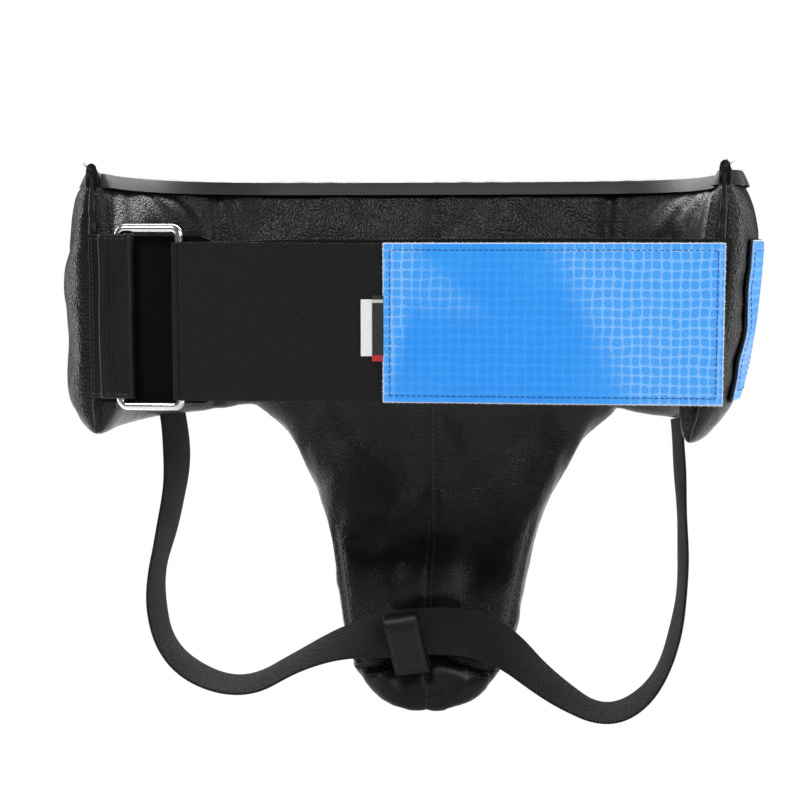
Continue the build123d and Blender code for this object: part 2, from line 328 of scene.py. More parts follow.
def elastic(name, across_attribute=None):
    """Woven elastic: fine slanting ribs of dull polyester yarn over rubber."""
    material, tree, surface, place = new_material(
        name, IOR=1.5, Roughness=0.8, Sheen_Weight=0.06, Sheen_Roughness=0.4, Specular_IOR_Level=0.2)
    if across_attribute:
        along = node(tree, "Attribute", {"attribute_name": "along"}).outputs["Fac"]
        across = node(tree, "Attribute", {"attribute_name": "across"}).outputs["Fac"]
    else:
        parts = node(tree, "SeparateXYZ", Vector=place)
        along, across = parts.outputs[0], parts.outputs[2]
    rib_pitch = 1.5 * MM
    pick_pitch = 0.7 * MM
    slant = maths(tree, "ADD", maths(tree, "MULTIPLY", along, -0.75), maths(tree, "MULTIPLY", across, 1.0))
    rib = maths(tree, "SINE", maths(tree, "MULTIPLY", slant, 2 * math.pi / rib_pitch))
    pick = maths(tree, "SINE", maths(tree, "MULTIPLY", along, 2 * math.pi / pick_pitch))
    weave = maths(tree, "ADD", rib, maths(tree, "MULTIPLY", pick, 0.35))
    fuzz = noise(tree, place, 0.5, 2)
    colour = mix(tree, ramp(tree, weave, -0.9, 1.2), linear("#030303"), linear("#333334"))
    worn = mix(tree, maths(tree, "MULTIPLY", fuzz, 0.3), colour, linear("#0c0c0c"))
    tree.links.new(worn, surface.inputs["Base Color"])
    normal = bump(tree, weave, 0.35, 1.0)
    tree.links.new(bump(tree, fuzz, 0.08, 0.5, normal), surface.inputs["Normal"])
    return material


flat_elastic = elastic("woven_elastic")
ribbon_elastic = elastic("woven_leg_elastic", True)


def steel():
    """Nickel-plated steel wire: bright, with fine drawing marks and small dents."""
    material, tree, surface, place = new_material("nickel_plated_steel", Metallic=1.0)
    marks = noise(tree, place, 1.2, 4, 0.7)
    dents = noise(tree, place, 6, 2)
    tree.links.new(mix(tree, marks, linear("#c9cac9"), linear("#e4e4e2")), surface.inputs["Base Color"])
    tree.links.new(ramp(tree, marks, 0.3, 0.8, 0.14, 0.34), surface.inputs["Roughness"])
    normal = bump(tree, dents, 0.25, 0.5)
    tree.links.new(bump(tree, marks, 0.03, 0.5, normal), surface.inputs["Normal"])
    return material


def blue_pu(name, zones):
    """Blue printed PU: rounded cells parted by a paler web, under a soft gloss."""
    material, tree, surface, place = new_material(
        name, IOR=1.5, Roughness=0.38, Coat_Weight=0.15, Coat_Roughness=0.3)
    warp = node(tree, "TexNoise", i0=place, Scale=1 / (14 * MM), Detail=1.0).outputs[1]
    centred = node(tree, "VectorMath", {"operation": "SUBTRACT"}, i0=warp, i1=(0.5, 0.5, 0.5)).outputs[0]
    shift = node(tree, "VectorMath", {"operation": "SCALE"}, i0=centred, Scale=3.2 * MM).outputs[0]
    warped = node(tree, "VectorMath", {"operation": "ADD"}, i0=place, i1=shift).outputs[0]
    moved = node(tree, "SeparateXYZ", Vector=warped)
    pitch = 5.3 * MM
    side = moved.outputs[0] if zones else moved.outputs[1]
    waves = []
    for axis in (side, moved.outputs[2]):
        turn = maths(tree, "MULTIPLY", axis, math.pi / pitch)
        waves.append(maths(tree, "POWER", maths(tree, "ABSOLUTE", maths(tree, "SINE", turn)), 0.9))
    web = ramp(tree, maths(tree, "MULTIPLY", waves[0], waves[1]), 0.34, 0.24)
    cloudy = noise(tree, place, 60, 1)
    base = mix(tree, ramp(tree, cloudy, 0.35, 0.7), linear("#1f93f6"), linear("#2f9bf7"))
    cell = mix(tree, 0.5, base, linear("#3da1f8"))
    if zones:
        parts = node(tree, "SeparateXYZ", Vector=place)
        x, z = parts.outputs[0], parts.outputs[2]
        slope = maths(tree, "ADD", x, maths(tree, "MULTIPLY", z, 0.5))
        right = ramp(tree, slope, 0.088, 0.112)
        left = ramp(tree, maths(tree, "SUBTRACT", x, maths(tree, "MULTIPLY", z, 0.2)), 0.009, -0.002)
        band = maths(tree, "SUBTRACT", x, maths(tree, "MULTIPLY", z, -1.1))
        middle = maths(tree, "MULTIPLY", ramp(tree, band, 0.000, 0.012), ramp(tree, band, 0.052, 0.034))
        upper = maths(tree, "MULTIPLY", middle, ramp(tree, z, -0.012, 0.006))
        sides = maths(tree, "MAXIMUM", right, left)
        zone = maths(tree, "MAXIMUM", sides, maths(tree, "MULTIPLY", upper, 0.55))
    else:
        zone = 0.9
    strong = mix(tree, web, linear("#45a3f8"), linear("#7dbcff"))
    faint = mix(tree, maths(tree, "MULTIPLY", web, 0.25), base, linear("#57adfa"))
    tree.links.new(mix(tree, zone, faint, strong), surface.inputs["Base Color"])
    grain = noise(tree, place, 0.8, 2)
    normal = bump(tree, noise(tree, place, 25, 2), 0.5, 0.35)
    normal = bump(tree, web, 0.05, 0.3, normal)
    tree.links.new(bump(tree, grain, 0.03, 0.3, normal), surface.inputs["Normal"])
    return material


def plain(name, colour, other, size_mm, rough, depth=0.05, **shader):
    """A plainly coloured stuff with a fine uneven surface."""
    material, tree, surface, place = new_material(name, Roughness=rough, **shader)
    speck = noise(tree, place, size_mm, 3)
    tree.links.new(mix(tree, speck, linear(colour), linear(other)), surface.inputs["Base Color"])
    tree.links.new(bump(tree, speck, depth, 0.6), surface.inputs["Normal"])
    return material


def woven(name, colour, other, pitch_mm):
    """A small woven tape: fine warp and weft threads."""
    material, tree, surface, place = new_material(name, Roughness=0.7, Sheen_Weight=0.2)
    parts = node(tree, "SeparateXYZ", Vector=place)
    waves = [maths(tree, "SINE", maths(tree, "MULTIPLY", parts.outputs[k], 2 * math.pi / (pitch_mm * MM)))
             for k in (0, 2)]
    weave = maths(tree, "MULTIPLY", waves[0], waves[1])
    colours = mix(tree, ramp(tree, weave, -0.7, 0.7), linear(colour), linear(other))
    tree.links.new(colours, surface.inputs["Base Color"])
    tree.links.new(bump(tree, weave, 0.1, 0.6), surface.inputs["Normal"])
    return material


def pile_nylon(name):
    """Hook and loop tape: rows of short nylon pile on a black woven ground."""
    material, tree, surface, place = new_material(name, Roughness=0.75, Specular_IOR_Level=0.25)
    tuft_pitch = 1.1 * MM
    tufts = node(tree, "TexVoronoi", {"feature": "F1"}, Vector=place,
                 Scale=1 / tuft_pitch, Randomness=0.45).outputs[0]
    fuzz = noise(tree, place, 0.4, 3)
    pile_height = maths(tree, "ADD", ramp(tree, tufts, 0.65, 0.1), maths(tree, "MULTIPLY", fuzz, 0.4))
    tree.links.new(mix(tree, ramp(tree, pile_height, 0.2, 1.3), linear("#050505"), linear("#2a2a2b")),
                   surface.inputs["Base Color"])
    tree.links.new(bump(tree, pile_height, 0.7, 0.9), surface.inputs["Normal"])
    return material


ring_steel = steel()
blue_patch = blue_pu("printed_blue_pu", True)
blue_wing = blue_pu("printed_blue_pu_wing", False)
foam = plain("closed_cell_foam", "#5a5a5c", "#66666a", 1.5, 0.9, 0.2)
shell_plastic = plain("moulded_polyethylene", "#d6d5cf", "#dedcd6", 8, 0.45)
hook_nylon = pile_nylon("nylon_hook_and_loop")
black_thread = plain("black_thread", "#2a2a2b", "#3d3d3e", 0.4, 0.6, 0.05)
# Dark thread made lighter grey than the black thread: a painted highlight, so that stitched edge lines show
# light.
highlight_grey_thread = plain("grey_thread_painted_highlight", "#3a3a3a", "#4c4c4c", 0.4, 0.6, 0.05)
navy_thread = plain("navy_thread", "#12266b", "#1c3a8c", 0.4, 0.6, 0.05)
white_backing = plain("frayed_white_backing", "#dfe4ea", "#f2f4f6", 0.6, 0.9, 0.1)
white_tape = woven("white_satin_tape", "#e4e4e2", "#f4f4f2", 0.7)
black_tape = woven("black_damask_tape", "#101010", "#242424", 0.6)
red_tape = woven("red_damask_tape", "#a3141c", "#c42630", 0.6)
pale_tape = woven("pale_damask_tape", "#b9b9b6", "#d8d8d4", 0.6)

# ------------------------------------------------------------------ leather skin of belt and cup
NOTCH = 4.0
CREASES = {"left": -150.0, "right": 121.0}
WING_CURL = 17.0
WING_FULLNESS = 0.4
SWELL_SHARE = 0.62
SWELL_MOST = 5.0
LEAST_HOLD = 0.02
SWELL_FRAMES = 16


def pad_half(z, run):
    """Half the belt's thickness: a pillow that thins to its top, bottom and end seams."""
    t = np.abs((z - 0.5) / 74.5)
    half = PAD_HALF * (1 - np.clip(t, 0, 1) ** np.where(z > 0, 3, 5)) ** 0.62
    past = np.minimum(run - (LEFT_END - PAD_HALF), RIGHT_END + PAD_HALF - run)
    return half * np.clip(1 - np.clip(1 - past / 26, 0, 1) ** 2.2, 0, 1) ** 0.55


def belt_pillow():
    """The belt as one closed tube from end seam to end seam."""
    around = 56
    rings = []
    for run in np.linspace(LEFT_END - PAD_HALF + 0.3, RIGHT_END + PAD_HALF - 0.3, 220):
        x, y, nx, ny = belt_at(run)
        angles = np.linspace(0, 2 * math.pi, around, endpoint=False)
        z = 0.5 + 74.3 * np.sign(np.sin(angles)) * np.abs(np.sin(angles)) ** 0.8
        out = np.sign(np.cos(angles)) * pad_half(z, run)
        out *= np.where(out > 0, 1 + WING_FULLNESS * smooth((-150 - run) / 90), 1)
        z = np.where(z < 0, z * (1 + 0.065 * smooth((abs(run) - 110) / 50)), z)
        rings.append(np.stack([x + nx * out, y + ny * out, z], 1))
    return add_mesh("belt_pillow", *tube_mesh(rings))


def bump_height(x, z):
    """The pad under the lining in the hollow."""
    away = np.sqrt(((x - CUP_X) / 33) ** 2 + ((z + 186) / 32) ** 2)
    return 17 * smooth(1.25 * (1 - away))


def cup_pillow():
    """The cup as one closed tube from inside the belt down to the tip."""
    around = 64
    shares = np.array([0, 0.36, 0.68, 0.88, 0.96, 1.0])
    rings = []
    for z in np.linspace(-62, -267.4, 100):
        y, half, crown, rim, floor = (cup_at(z, k) for k in range(1, 6))
        angles = np.linspace(0, 2 * math.pi, around, endpoint=False)
        q = np.abs(np.cos(angles))
        depths = np.array([floor, 0.35 * rim + 0.65 * floor, rim, 0.78 * rim, 0.5 * rim, 0])
        inner = np.interp(q, shares, depths)
        outer = crown * np.sqrt(np.clip(1 - q**2.6, 0, 1))
        across = np.where(np.sin(angles) >= 0, outer, -inner)
        x = CUP_X + half * np.cos(angles)
        across = np.where(across < 0, across - bump_height(x, z), across)
        rings.append(np.stack([x, y + across, np.full(around, z)], 1))
    return add_mesh("cup_pillow", *tube_mesh(rings))


def nearest_run(points):
    """For each point, how far along the belt it is, and how far outside the middle line."""
    runs = np.empty(len(points))
    outs = np.empty(len(points))
    for k in range(0, len(points), 4000):
        part = points[k:k + 4000]
        gaps = (part[:, None, 0] - BELT[None, :, 1]) ** 2 + (part[:, None, 1] - BELT[None, :, 2]) ** 2
        best = gaps.argmin(1)
        row = BELT[best]
        dx, dy = part[:, 0] - row[:, 1], part[:, 1] - row[:, 2]
        runs[k:k + 4000] = row[:, 0] + dx * row[:, 4] - dy * row[:, 3]
        outs[k:k + 4000] = dx * row[:, 3] + dy * row[:, 4]
    return runs, outs


def curl(points):
    """The right wing's end hangs in, by little at its top and by more towards its bottom."""
    points = np.asarray(points, float)
    flat = points.reshape(-1, 3)
    runs, _ = nearest_run(flat)
    drop = np.clip((BELT_TOP - flat[:, 2]) / 149, 0, 1.05)
    moved = flat.copy()
    moved[:, 0] -= WING_CURL * smooth((runs - 175) / 110) * drop**2
    return moved.reshape(points.shape)


def outside_of(points):
    """How far each point lies outside the surface that parts the cover from the lining."""
    runs, outs = nearest_run(points)
    cup = points[:, 1] - cup_at(points[:, 2], 1)
    share = smooth((-62 - points[:, 2]) / 16) * (np.abs(points[:, 0]) < 135)
    return outs * (1 - share) + cup * share, runs


def seam_pull(points):
    """How strongly each point is held down by a seam, from 0 to 1, and which way is in."""
    out, runs = outside_of(points)
    z = points[:, 2]
    held = np.zeros(len(points))

    def line(distance, width, strength, where):
        nonlocal held
        held = np.maximum(held, strength * np.exp(-(distance / width) ** 2) * where)

    on_belt = smooth((z + 80) / 12)
    inner = out < 0
    for crease in CREASES.values():
        line(runs - crease, 5, 0.75, on_belt)
        line(runs - crease - 13, 4, 0.3, on_belt * inner)
    line(points[:, 0] - CUP_X, 4, 0.35, inner * (z > -150))
    line(points[:, 0] - CUP_X, 3, 0.2, inner * (z <= -150))
    half = cup_at(z, 2)
    on_rim = inner * smooth((-140 - z) / 12) * smooth((z + 246) / 8)
    line(np.abs(points[:, 0] - CUP_X) - half + 9, 3, 0.6, on_rim)
    cap = -236 + 3.5 * np.cos((points[:, 0] - CUP_X) / 14)
    line(z - cap, 3.5, 0.6, inner * (np.abs(points[:, 0] - CUP_X) < 44))
    notch = np.hypot(points[:, 0] + 62, z + 150)
    line(notch, 8, 0.55, inner)
    return held, out, runs


def make_skin():
    skin = join("skin", [belt_pillow(), cup_pillow()])
    remesh = skin.modifiers.new("one_skin", "REMESH")
    remesh.mode = "VOXEL"
    remesh.voxel_size = 3.6 * MM
    remesh.use_smooth_shade = True
    apply_modifiers(skin)
    soften = skin.modifiers.new("soften", "SMOOTH")
    soften.factor = 0.5
    soften.iterations = 4
    apply_modifiers(skin)
    points = coordinates(skin)
    held, out, runs = seam_pull(points)
    inward = -normals_of(skin)
    start = points + inward * (held * NOTCH)[:, None]
    set_coordinates(skin, start)
    inflate(skin, np.clip(held * 1.6 + edge_hold(points, runs), 0, 1), SWELL_MOST)
    return skin


def edge_hold(points, runs):
    """The top edge, the lower edge and the end seams hold the leather where the pattern puts it."""
    z = points[:, 2]
    top = np.exp(-((BELT_TOP - z) / 5) ** 2)
    low = np.exp(-((z - BELT_BOTTOM) / 5) ** 2) * (np.abs(points[:, 0]) > 132)
    ends = np.exp(-(np.minimum(runs - LEFT_END + PAD_HALF, RIGHT_END + PAD_HALF - runs) / 4) ** 2)
    return np.maximum(np.maximum(top, low), ends)


def inflate(piece, held, cap):
    """Blows the skin up from inside, held at its seams, so that the leather puckers beside them."""
    start = coordinates(piece)
    group = piece.vertex_groups.new(name="sewn")
    for k, value in enumerate(held):
        if value > LEAST_HOLD:
            group.add([k], float(value), "REPLACE")
    cloth = piece.modifiers.new("stuffing", "CLOTH")
    settings = cloth.settings
    settings.quality = 5
    settings.mass = 0.4
    settings.tension_stiffness = 12
    settings.compression_stiffness = 12
    settings.shear_stiffness = 6
    settings.bending_stiffness = 0.6
    settings.use_pressure = True
    settings.uniform_pressure_force = 3.5
    settings.shrink_min = -0.05
    settings.effector_weights.gravity = 0
    settings.vertex_group_mass = "sewn"
    cloth.collision_settings.use_collision = False
    scene = bpy.context.scene
    for step in range(1, SWELL_FRAMES + 1):
        scene.frame_set(step)
    apply_modifiers(piece)
    scene.frame_set(1)
    moved = coordinates(piece) - start
    length = np.linalg.norm(moved, axis=1)
    scale = SWELL_SHARE * np.minimum(1, cap / np.maximum(length, 1e-6))
    set_coordinates(piece, start + moved * scale[:, None])
    settle = piece.modifiers.new("settle", "SMOOTH")
    settle.factor = 0.5
    settle.iterations = 3
    apply_modifiers(piece)


def part_of(piece, name, keep):
    """A copy of a piece with only the faces whose middle passes the test."""
    made = piece.copy()
    made.data = piece.data.copy()
    made.name = name
    bpy.context.scene.collection.objects.link(made)
    points = coordinates(made)
    middles = np.array([points[list(p.vertices)].mean(0) for p in made.data.polygons])
    kept = keep(middles)
    work = bmesh.new()
    work.from_mesh(made.data)
    work.faces.ensure_lookup_table()
    gone = [work.faces[k] for k in np.flatnonzero(~kept)]
    bmesh.ops.delete(work, geom=gone, context="FACES")
    work.to_mesh(made.data)
    work.free()
    return made


skin = make_skin()
subdivide(skin)
points = coordinates(skin)
held, out, runs = seam_pull(points)
fold = np.sin(points[:, 2] / 11 + np.sin(runs / 17)) * np.exp(-((runs - LEFT_END) / 26) ** 2)
fold += np.sin(points[:, 2] / 9 + 1.3) * np.exp(-((runs - RIGHT_END) / 22) ** 2)
set_coordinates(skin, points + normals_of(skin) * (0.35 * fold - 0.8 * held)[:, None])

cover = part_of(skin, "leather_cover", lambda middles: outside_of(middles)[0] >= 0)
lining = part_of(skin, "leather_lining", lambda middles: outside_of(middles)[0] < 0)


def cap_edge(x, height):
    """The tip cap's top seam dips to both sides of the cup's middle."""
    return height + 3.5 * np.cos((x - CUP_X) / 14)


def tip_cap():
    """A second leather cup drawn over the tip, puckered along its top seam."""
    piece = part_of(skin, "tip_cap_leather", lambda middles: middles[:, 2] < cap_edge(middles[:, 0], -237.5))
    points = coordinates(piece)
    below = np.clip(cap_edge(points[:, 0], -237.5) - points[:, 2], -2, 40)
    pucker = np.sin(points[:, 0] / 2.1 + np.sin(points[:, 0] / 5)) + 0.6 * np.sin(points[:, 0] / 4.4)
    pucker = pucker * np.exp(-below / 4)
    seam = np.exp(-((points[:, 0] - CUP_X - 1) / 1.6) ** 2)
    swell = 0.9 + 0.5 * smooth(below / 9) + 0.35 * pucker - 0.7 * seam
    set_coordinates(piece, points + normals_of(piece) * swell[:, None])
    solid = piece.modifiers.new("leather", "SOLIDIFY")
    solid.thickness = 1.0 * MM
    solid.offset = -1
    apply_modifiers(piece)
    own(piece, "root", "smooth_leather", smooth_leather, "tip_cap")
    return piece


cap = tip_cap()
bpy.data.objects.remove(skin)
for leather_part in (cover, lining):
    set_coordinates(leather_part, curl(coordinates(leather_part)))
own(cover, "root", "outer_leather", pebbled_leather, "belt_cover", "cup_cover")
own(lining, "root", "lining_leather", lining_leather, "belt_lining", "cup_lining")

# ------------------------------------------------------------------ foam inside
FOAM = ("wing_pad_left", "wing_pad_right", "front_pad_left", "front_pad_right", "rim_pad_left",
        "rim_pad_right", "cup_foam", "cup_inner_foam", "inner_pad")


def foam_piece(name):
    """A pad's foam, drawn in from the leather on every side."""
    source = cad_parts[name]
    piece = source.copy()
    piece.data = source.data.copy()
    piece.name = name + "_foam"
    piece.parent = None
    for key in [k for k in piece.keys() if k.startswith("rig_")]:
        del piece[key]
    bpy.context.scene.collection.objects.link(piece)
    points = coordinates(piece)
    thin = 0.45
    if name.startswith(("wing", "front")):
        runs, outs = nearest_run(points)
        x, y, nx, ny = belt_at(runs)
        points[:, 0] = x + nx * outs * thin
        points[:, 1] = y + ny * outs * thin
        points[:, 2] *= 0.9
    else:
        middle = cup_at(points[:, 2], 1)
        points[:, 1] = middle + (points[:, 1] - middle) * thin
        points[:, 1] += 8 if name in ("cup_inner_foam", "inner_pad") else 2.5
        points[:, 0] = CUP_X + (points[:, 0] - CUP_X) * 0.8
        points[:, 2] = -74 + (points[:, 2] + 74) * 0.94
    set_coordinates(piece, curl(points))
    own(piece, "root", "foam", foam, name)


for name in FOAM:
    foam_piece(name)

# ------------------------------------------------------------------ sewing and trims
def resample(points, step):
    """Points at even steps along a line."""
    points = np.asarray(points, float)
    lengths = np.linalg.norm(np.diff(points, axis=0), axis=1)
    run = np.concatenate([[0], np.cumsum(lengths)])
    count = max(int(run[-1] / step), 1) + 1
    wanted = np.linspace(0, run[-1], count)
    return np.stack([np.interp(wanted, run, points[:, k]) for k in range(3)], 1)


def stitches(name, lines, material, body, slot, length=2.4, gap=1.0, thick=0.55, sag=0.12):
    """Rows of short thread capsules along lines given in millimetres."""
    points, faces = [], []
    sides = 6
    shares = np.array([0, 0.12, 0.5, 0.88, 1.0])
    widths = np.array([0.35, 0.85, 1.0, 0.85, 0.35])
    for line in lines:
        even = resample(line, (length + gap) / 2)
        for k in range(0, len(even) - 1, 2):
            a, b = even[k], even[k + 1]
            middle = (a + b) / 2
            along = (b - a) / max(np.linalg.norm(b - a), 1e-6)
            a, b = middle - along * length / 2, middle + along * length / 2
            side = np.cross(along, (0.3, 0.8, 0.52))
            side /= np.linalg.norm(side)
            up = np.cross(along, side)
            base = len(points)
            for share, width in zip(shares, widths):
                centre = a + (b - a) * share
                for t in range(sides):
                    angle = 2 * math.pi * t / sides
                    way = side * math.cos(angle) + up * math.sin(angle)
                    points.append(centre + way * width * thick / 2)
            faces += [tuple(base + v for v in face) for face in grid_faces(5, sides, close_columns=True)]
            faces.append(tuple(base + v for v in range(sides))[::-1])
            faces.append(tuple(base + 4 * sides + v for v in range(sides)))
    return own(add_mesh(name, points, faces), body, slot, material)


def thick_sheet(name, grid, thick, bevel=0.35, offset=0.0):
    """A sheet with a real thickness and eased edges, from a grid of points in millimetres."""
    grid = np.asarray(grid, float)
    piece = add_mesh(name, grid.reshape(-1, 3), grid_faces(*grid.shape[:2]))
    solid = piece.modifiers.new("leather", "SOLIDIFY")
    solid.thickness = thick * MM
    solid.offset = offset
    ease = piece.modifiers.new("eased", "BEVEL")
    ease.width = min(bevel, thick * 0.42) * MM
    ease.segments = 3
    ease.limit_method = "ANGLE"
    ease.angle_limit = math.radians(50)
    return apply_modifiers(piece)


def waves(u, v, seeds):
    """A quiet sum of sines, for the small unevenness of sewn sheets."""
    total = 0
    for size, turn, phase in seeds:
        total = total + np.sin((u * math.cos(turn) + v * math.sin(turn)) * 2 * math.pi / size + phase) * size
    return total / sum(size for size, _, _ in seeds)


SHEET_WAVES = ((61, 0.4, 0), (37, 1.9, 1), (23, 2.8, 2))


def flat_grid(x0, x1, z0, z1, y, step=3.0, uneven=0.0, seeds=SHEET_WAVES):
    """A grid of points in an upright plane across the belt's opening, a little uneven."""
    columns = max(int((x1 - x0) / step), 2) + 1
    rows = max(int((z1 - z0) / step), 2) + 1
    x, z = np.meshgrid(np.linspace(x0, x1, columns), np.linspace(z0, z1, rows))
    depth = y + uneven * waves(x, z, seeds)
    return np.stack([x, depth * np.ones_like(x), z], 2)


def tree_of(piece):
    points = coordinates(piece)
    return BVHTree.FromPolygons([tuple(p) for p in points], [tuple(p.vertices) for p in piece.data.polygons])


cover_tree, lining_tree = tree_of(cover), tree_of(lining)


def laid(tree, starts, ways, lift=0.25):
    """Where lines from these starts meet a surface, lifted a little back off it."""
    met = []
    for start, way in zip(starts, ways):
        way = Vector(way).normalized()
        place, _, _, _ = tree.ray_cast(Vector(start), way)
        if place is not None:
            met.append(np.array(place - way * lift))
    return np.array(met)


def inside_line(runs, heights, lift=0.25):
    """A line on the belt's inner face."""
    starts, ways = [], []
    for run, z in zip(runs, heights):
        x, y, nx, ny = (float(v) for v in belt_at(run))
        starts.append((x - nx * 45, y - ny * 45, z))
        ways.append((nx, ny, 0))
    return laid(lining_tree, starts, ways, lift)


def front_line(places, tree=lining_tree, lift=0.25):
    """A line on the hollow's face, met from the open side."""
    return laid(tree, [(x, -60, z) for x, z in places], [(0, 1, 0)] * len(places), lift)


def binding():
    """The binding folded over the top edge, with its two raised corners."""
    section = [(6.9, 68.2), (7.15, 70.5), (6.9, 73), (5.6, 75.4), (3.2, 76.6), (0, 77.0)]
    section += [(-a, b) for a, b in section[-2::-1]]
    section += [(-5.9, 68.0), (0, 68.6), (5.9, 68.0)]
    start, end = LEFT_END - PAD_HALF - 1.2, RIGHT_END + PAD_HALF + 1.2
    rings = []
    for run in np.linspace(start, end, 560):
        x, y, nx, ny = (float(v) for v in belt_at(run))
        away = min(run - start, end - run)
        narrow = 0.42 + 0.58 * float(smooth(away / 28))
        rise = 4.6 * math.exp(-(away / 4.5) ** 2) + 0.22 * math.sin(run / 2.9) + 0.3 * math.sin(run / 17)
        pucker = 0.22 * math.sin(run / 1.15 + math.sin(run / 9)) + 0.18 * math.sin(run / 5.3)
        ring = []
        for across, z in section:
            grown = across * narrow + math.copysign(pucker * (abs(across) > 4), across)
            lifted = z + rise * (z > 70) + 0.25 * math.sin(run / 6.1) * (z < 70)
            ring.append((x + nx * grown, y + ny * grown, lifted))
        rings.append(ring)
    piece = add_mesh("top_binding", *tube_mesh(rings))
    return own(piece, "root", "smooth_leather", binding_leather)


binding()
edge_runs = np.arange(LEFT_END - 8, RIGHT_END + 8, 3.0)


def belt_points(runs, out, z):
    x, y, nx, ny = belt_at(runs)
    return curl(np.stack([x + nx * out, y + ny * out, z * np.ones_like(x)], 1))


# These stitches use the thread with the painted highlight, for the light stitched line along the binding's
# lower edge.
stitches("binding_stitches", [belt_points(edge_runs, -7.5, 69.4), belt_points(edge_runs, 7.5, 69.4)],
         highlight_grey_thread, "root", "smooth_leather", 2.6, 1.1, 0.6)


def tuft(name, x, y, z, lean):
    """A few cut thread ends that stand up at a sewn corner."""
    points, faces = [], []
    for k in range(5):
        angle = k * 2.39
        height = 3.4 + 1.3 * math.sin(k * 1.7)
        spread = 1.0 + 0.8 * math.cos(k * 2.1)
        base = len(points)
        for share in (0, 0.35, 0.7, 1.0):
            centre = np.array([
                x + math.cos(angle) * (0.8 + spread * share**1.5) + lean * share * 2.2,
                y + math.sin(angle) * (0.8 + spread * share**1.5),
                z + height * share - 1.5,
            ])
            wide = 0.34 * (1 - 0.55 * share)
            for t in range(5):
                turned = 2 * math.pi * t / 5
                points.append(centre + (math.cos(turned) * wide, math.sin(turned) * wide, 0))
        faces += [tuple(base + v for v in face) for face in grid_faces(4, 5, close_columns=True)]
        faces.append(tuple(base + 15 + v for v in range(5)))
        faces.append(tuple(base + v for v in range(5))[::-1])
    own(add_mesh(name, points, faces), "root", "smooth_leather", black_thread)


for name, run, lean in (("left_thread_tuft", LEFT_END - PAD_HALF, -1.6),
                        ("right_thread_tuft", RIGHT_END + PAD_HALF, 1.0)):
    x, y, _, _ = (float(v) for v in belt_at(run))
    tuft(name, x, y - 1.5, 79.0, lean)


def end_welt(name, run, sign):
    """A rolled welt down an end seam."""
    rings = []
    for z in np.linspace(-74, 74, 150):
        x, y, nx, ny = (float(v) for v in belt_at(run))
        wobble = 0.35 * math.sin(z / 2.1 + math.sin(z / 7)) + 0.5 * math.sin(z / 19)
        pinch = 1.0 - 0.5 * smooth((abs(z) - 58) / 14)
        ring = []
        for t in range(10):
            angle = 2 * math.pi * t / 10
            across = math.cos(angle) * (2.0 * pinch + wobble * 0.4)
            along = math.sin(angle) * 1.6 + sign * (1.2 + wobble)
            ring.append((x + nx * across + ny * along, y + ny * across - nx * along, z))
        rings.append(curl(ring))
    own(add_mesh(name, *tube_mesh(rings)), "root", "outer_leather", smooth_leather)


end_welt("left_end_welt", LEFT_END - PAD_HALF, -1)
end_welt("right_end_welt", RIGHT_END + PAD_HALF, 1)

seam_rows = []
levels = np.arange(-62, 64, 2.0)
for run in (LEFT_END - 6, RIGHT_END + 6):
    seam_rows.append(inside_line(run + 0 * levels, levels))
for crease in CREASES.values():
    seam_rows.append(inside_line(crease + 0 * levels, levels))
middle_heights = np.arange(66, -150, -2.0)
seam_rows.append(front_line([(CUP_X, z) for z in middle_heights]))
low_heights = np.arange(-152, -232, -1.5)
seam_rows += [front_line([(CUP_X + side, z) for z in low_heights]) for side in (-2.2, 2.2)]
for side in (-1, 1):
    heights = np.arange(-142, -232, -1.8)
    seam_rows.append(front_line([(CUP_X + side * (float(cup_at(z, 2)) - 12.5), z) for z in heights]))
cap_line = [(x, -240.5 + 3.5 * math.cos((x - CUP_X) / 14)) for x in np.arange(CUP_X - 40, CUP_X + 40, 1.5)]
seam_rows.append(front_line(cap_line, tree_of(cap)))
seam_rows.append(front_line([(CUP_X + 1, z) for z in np.arange(-238, -264, -1.5)], tree_of(cap)))
stitches("seam_stitches", [row for row in seam_rows if len(row) > 2], black_thread, "root", "lining_leather",
         2.6, 1.0, 0.8)

# ------------------------------------------------------------------ ring, its tab and guard
RING_X = -163.6
RING_END = RING_X + 35
RING_Y = -90
TAB_END = -180.8
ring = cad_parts["closure_ring"]
ring.data.materials.clear()
ring.data.materials.append(ring_steel)


